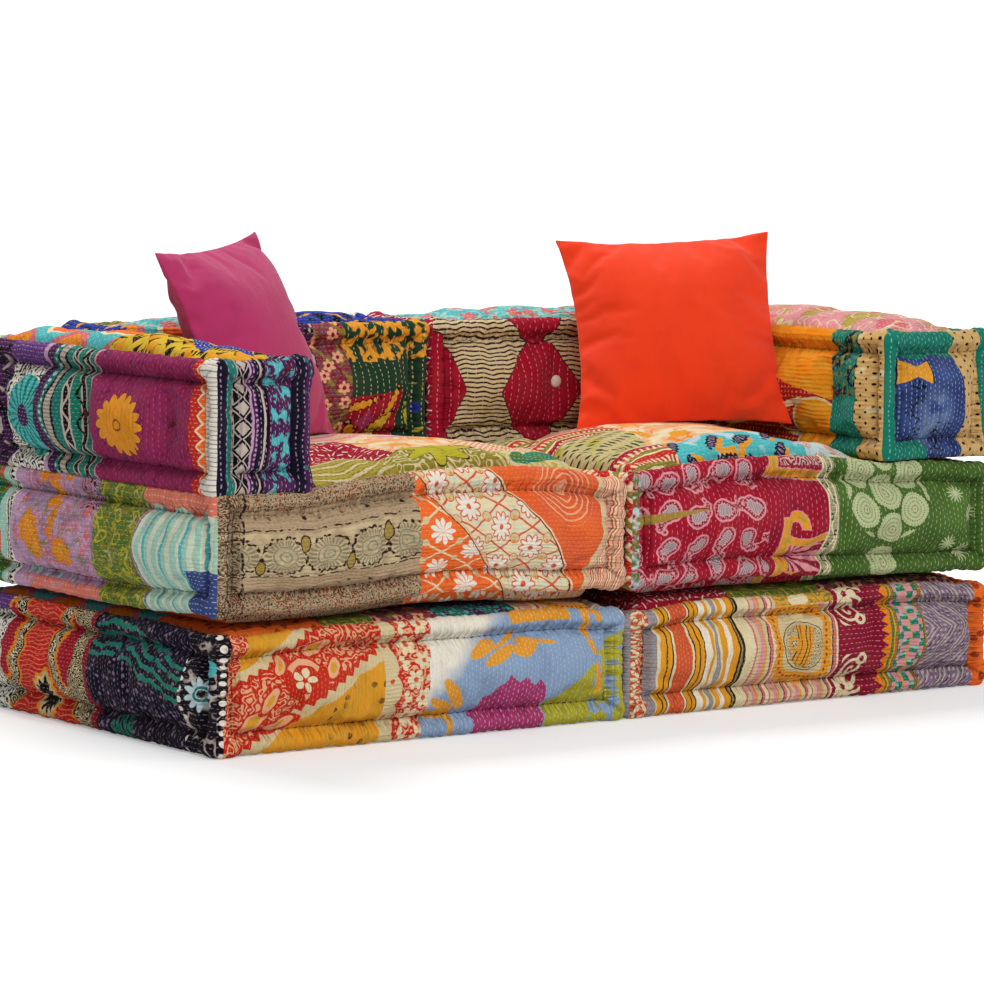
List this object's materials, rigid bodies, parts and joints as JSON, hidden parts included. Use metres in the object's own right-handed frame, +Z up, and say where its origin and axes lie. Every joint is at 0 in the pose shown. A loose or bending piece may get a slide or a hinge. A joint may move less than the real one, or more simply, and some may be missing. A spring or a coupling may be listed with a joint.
{
  "type": "modular pouf",
  "caption": "Modular patchwork pouf: square quilted floor cushions stacked as a low seat, with arm and back bolsters and loose throw pillows, each module free to come off.",
  "frame": {"origin": "on the floor under the middle of the stacked seats", "axes": "+X to the right along the front, +Y to the back, +Z up"},
  "size_m": [1.46, 0.708, 0.7002],
  "materials": {
    "patchwork_seat": "quilted printed cotton patches with running stitches",
    "patchwork_bolster": "quilted printed cotton patches with running stitches",
    "underside_cotton": "plain woven cotton",
    "stuffing": "packed cotton stuffing",
    "twine": "twisted cotton twine",
    "button_cotton": "cloth-covered button on twine",
    "orange_cotton": "plain woven cotton",
    "magenta_cotton": "plain woven cotton"
  },
  "bodies": {
    "seat_lower_left": {"seat_lower_left_cover": "patchwork_seat", "seat_lower_left_base": "underside_cotton", "seat_lower_left_core": "stuffing", "seat_lower_left_ties": "twine"},
    "seat_lower_right": {"seat_lower_right_cover": "patchwork_seat", "seat_lower_right_base": "underside_cotton", "seat_lower_right_core": "stuffing", "seat_lower_right_ties": "twine"},
    "seat_upper_left": {"seat_upper_left_cover": "patchwork_seat", "seat_upper_left_base": "underside_cotton", "seat_upper_left_core": "stuffing", "seat_upper_left_ties": "twine"},
    "seat_upper_right": {"seat_upper_right_cover": "patchwork_seat", "seat_upper_right_base": "underside_cotton", "seat_upper_right_core": "stuffing", "seat_upper_right_ties": "twine"},
    "arm_left": {"arm_left_cover": "patchwork_bolster", "arm_left_base": "underside_cotton", "arm_left_core": "stuffing", "arm_left_ties": "twine"},
    "arm_right": {"arm_right_cover": "patchwork_bolster", "arm_right_base": "underside_cotton", "arm_right_core": "stuffing", "arm_right_ties": "twine"},
    "back_left": {"back_left_cover": "patchwork_bolster", "back_left_base": "underside_cotton", "back_left_core": "stuffing", "back_left_ties": "button_cotton"},
    "back_right": {"back_right_cover": "patchwork_bolster", "back_right_base": "underside_cotton", "back_right_core": "stuffing", "back_right_ties": "button_cotton"},
    "pillow_orange": {"pillow_orange_cover": "orange_cotton", "pillow_orange_pad": "stuffing"},
    "pillow_magenta": {"pillow_magenta_cover": "magenta_cotton", "pillow_magenta_pad": "stuffing"}
  },
  "joints": [
    {"name": "lower_right_pull", "type": "slide", "parent": "seat_lower_left", "child": "seat_lower_right", "axis": [1, 0, 0], "range_m": [0, 0.4]},
    {"name": "upper_left_lift", "type": "slide", "parent": "seat_lower_left", "child": "seat_upper_left", "axis": [0, 0, 1], "range_m": [0, 0.4]},
    {"name": "upper_right_lift", "type": "slide", "parent": "seat_lower_right", "child": "seat_upper_right", "axis": [0, 0, 1], "range_m": [0, 0.4]},
    {"name": "arm_left_pull", "type": "slide", "parent": "seat_upper_left", "child": "arm_left", "axis": [-1, 0, 0], "range_m": [0, 0.25]},
    {"name": "arm_right_pull", "type": "slide", "parent": "seat_upper_right", "child": "arm_right", "axis": [1, 0, 0], "range_m": [0, 0.25]},
    {"name": "back_left_pull", "type": "slide", "parent": "seat_upper_left", "child": "back_left", "axis": [0, 1, 0], "range_m": [0, 0.25]},
    {"name": "back_right_pull", "type": "slide", "parent": "seat_upper_right", "child": "back_right", "axis": [0, 1, 0], "range_m": [0, 0.25]},
    {"name": "pillow_orange_lift", "type": "slide", "parent": "seat_upper_right", "child": "pillow_orange", "axis": [0, 0, 1], "range_m": [0, 0.35]},
    {"name": "pillow_magenta_lift", "type": "slide", "parent": "seat_upper_left", "child": "pillow_magenta", "axis": [0, 0, 1], "range_m": [0, 0.35]}
  ]
}
